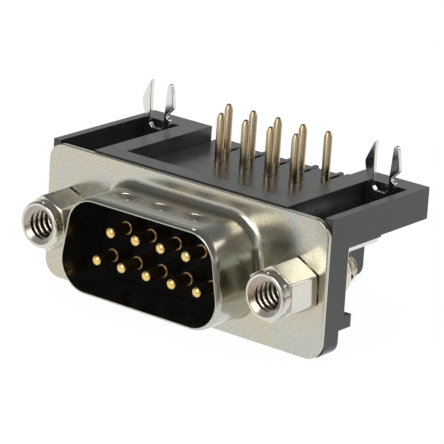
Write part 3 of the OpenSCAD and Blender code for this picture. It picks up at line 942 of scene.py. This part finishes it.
class PLUG_OT_contacts(bpy.types.Operator):
    """Bend the nine contacts, with domed pins in front and solder tails behind"""

    bl_idname = "plug.contacts"
    bl_label = "Contacts"

    def execute(self, context):
        sizes, looks = context.scene.plug_sizes, finishes()
        steps = context.scene.plug_stage.steps
        bright_end = low("contact_1")[1] + 0.75 * MM
        spacer_z = low("tail_spacer")[2]
        for k in range(1, 10):
            node = f"contact_{k}"
            obj = build_contact(sizes, node, steps)
            hand_in(obj, looks["Gold plate"], node)
            # painted shade: behind the bright tips the gold is darkened for the shade in the D's
            # mouth
            plate_where(obj, looks["Shaded gold"], lambda p: p[:, 1] > bright_end)
            plate_where(obj, looks["Tail plate"], lambda p: p[:, 2] > spacer_z)
        return {"FINISHED"}


# The stage


def add_camera(lens):
    """The camera at the photograph's viewing angle."""
    data = bpy.data.cameras.new("Camera")
    data.lens = lens
    data.sensor_width = 36.0
    data.sensor_fit = "HORIZONTAL"
    data.clip_start = 0.001
    camera = bpy.data.objects.new("Camera", data)
    place = (0.15418, -0.19535, 0.08337)
    right, up = Vector((0.7802, 0.6228, 0.0585)), Vector((-0.2363, 0.2068, 0.9494))
    turn = Matrix((right, up, right.cross(up))).transposed().to_4x4()
    camera.matrix_world = Matrix.Translation(place) @ turn
    bpy.context.scene.collection.objects.link(camera)
    bpy.context.scene.camera = camera


def add_lamp(name, azimuth, elevation, width, height, power):
    """A soft box aimed at the part; azimuth 0 is in front of the flange and 90 on its right."""
    data = bpy.data.lights.new(name, "AREA")
    data.shape = "RECTANGLE"
    data.size = width
    data.size_y = height
    data.energy = power
    distance, aim = 0.5, np.array([0.0, 0.004, 0.0])
    a, e = np.radians(azimuth), np.radians(elevation)
    place = aim + distance * np.array([np.sin(a) * np.cos(e), -np.cos(a) * np.cos(e), np.sin(e)])
    way = Vector(aim) - Vector(place)
    lamp = bpy.data.objects.new(name, data)
    lamp.matrix_world = Matrix.Translation(place) @ way.to_track_quat("-Z", "Y").to_matrix().to_4x4()
    bpy.context.scene.collection.objects.link(lamp)


def add_world(strength):
    """Even light of a strength all round, for matt surfaces, and white for the camera.

    Gloss sees a studio instead: a pale sweep in front and behind that darkens upwards. The colours
    of its stops count by their brightness, because they set the background's strength.
    """
    world = bpy.data.worlds.new("Studio")
    bpy.context.scene.world = world
    world.use_nodes = True
    tree = world.node_tree
    back = tree.nodes["Background"]
    back.inputs["Color"].default_value = (1, 1, 1, 1)
    way = components(tree, coordinate(tree, "Generated"))
    ahead = calc(tree, "ABSOLUTE", way["Y"])
    tilt = calc(tree, "MULTIPLY_ADD", ahead, -0.45, way["Z"])
    stops = [
        (0.25, (0.78, 0.77, 0.73)),
        (0.38, (0.46, 0.455, 0.42)),
        (0.52, (0.2, 0.195, 0.16)),
        (1.0, (0.13, 0.125, 0.1)),
    ]
    studio = ramp(tree, remap(tree, tilt, -0.5, 1.0), stops)
    ray = tree.nodes.new("ShaderNodeLightPath").outputs
    gloss = calc(tree, "MAXIMUM", ray["Is Glossy Ray"], ray["Is Transmission Ray"])
    light = blend(tree, gloss, strength, studio)
    tree.links.new(blend(tree, ray["Is Camera Ray"], light, 1.0), back.inputs["Strength"])


def add_floor(z):
    """A wide pale floor just under the part, nearly white for the camera, with the part's shadow.

    Gloss sees it darken in front and to the right of the part.
    """
    half, glow_share = 1.5, 0.93
    corners = [(-half, -half, z), (half, -half, z), (half, half, z), (-half, half, z)]
    floor = make_object("Floor", corners, [(0, 1, 2, 3)])
    material, tree, shader = nodes_of("Floor")
    shader.inputs["Base Color"].default_value = (0.85, 0.84, 0.81, 1)
    shader.inputs["Roughness"].default_value = 0.9
    ray = tree.nodes.new("ShaderNodeLightPath").outputs
    ahead_mm = calc_vector(tree, "DOT_PRODUCT", coordinate(tree), (0.79 / MM, -0.61 / MM, 0))
    stops = [(0, (1, 1, 1)), (0.4, (0.42, 0.36, 0.29)), (1, (0.16, 0.13, 0.095))]
    darkened = ramp(tree, remap(tree, ahead_mm, 14, 64), stops)
    glow = tree.nodes.new("ShaderNodeEmission")
    glow.inputs["Strength"].default_value = 1.03
    tint = blend(tree, ray["Is Camera Ray"], darkened, (1, 1, 1, 1), "RGBA")
    tree.links.new(tint, glow.inputs["Color"])
    seen = calc(tree, "MAXIMUM", ray["Is Camera Ray"], ray["Is Glossy Ray"])
    mix = tree.nodes.new("ShaderNodeMixShader")
    tree.links.new(calc(tree, "MULTIPLY", seen, glow_share), mix.inputs["Fac"])
    tree.links.new(shader.outputs[0], mix.inputs[1])
    tree.links.new(glow.outputs[0], mix.inputs[2])
    tree.links.new(mix.outputs[0], tree.nodes["Material Output"].inputs["Surface"])
    floor.data.materials.append(material)


class PLUG_OT_stage(bpy.types.Operator):
    """Set the floor, the lights and the camera"""

    bl_idname = "plug.stage"
    bl_label = "Stage"

    def execute(self, context):
        stage = context.scene.plug_stage
        context.scene.view_settings.view_transform = "Standard"
        add_camera(stage.lens)
        add_world(stage.sky)
        add_floor(CAD_BOX[0][2] - 0.05 * MM)
        # azimuth and elevation in degrees, width and height in metres
        add_lamp("Key", 0, 26, 0.26, 0.36, stage.key_power)
        add_lamp("Top", -133, 47, 0.035, 0.035, stage.top_power)
        add_lamp("Rear", 147, 28, 0.22, 0.13, stage.rear_power)
        return {"FINISHED"}


class PLUG_PT_panel(bpy.types.Panel):
    """The build steps and their sizes in the sidebar"""

    bl_label = "D-sub plug"
    bl_idname = "PLUG_PT_panel"
    bl_space_type = "VIEW_3D"
    bl_region_type = "UI"
    bl_category = "D-sub"

    def draw(self, context):
        for operator in OPERATORS:
            self.layout.operator(operator.bl_idname)
        for group in (context.scene.plug_sizes, context.scene.plug_finish, context.scene.plug_stage):
            box = self.layout.box()
            for name in group.__annotations__:
                box.prop(group, name)


OPERATORS = (
    PLUG_OT_shell,
    PLUG_OT_mouldings,
    PLUG_OT_locks,
    PLUG_OT_screwlocks,
    PLUG_OT_contacts,
    PLUG_OT_stage,
)
GROUPS = {"plug_sizes": PlugSizes, "plug_finish": PlugFinish, "plug_stage": PlugStage}


def register():
    for group in GROUPS.values():
        bpy.utils.register_class(group)
    for name, group in GROUPS.items():
        setattr(bpy.types.Scene, name, PointerProperty(type=group))
    for item in (*OPERATORS, PLUG_PT_panel):
        bpy.utils.register_class(item)


def unregister():
    for item in reversed((*OPERATORS, PLUG_PT_panel)):
        bpy.utils.unregister_class(item)
    for name, group in GROUPS.items():
        delattr(bpy.types.Scene, name)
        bpy.utils.unregister_class(group)


def main():
    register()
    bpy.ops.plug.stage()
    bpy.ops.plug.shell()
    bpy.ops.plug.mouldings()
    bpy.ops.plug.locks()
    bpy.ops.plug.screwlocks()
    bpy.ops.plug.contacts()


if __name__ == "__main__":
    main()
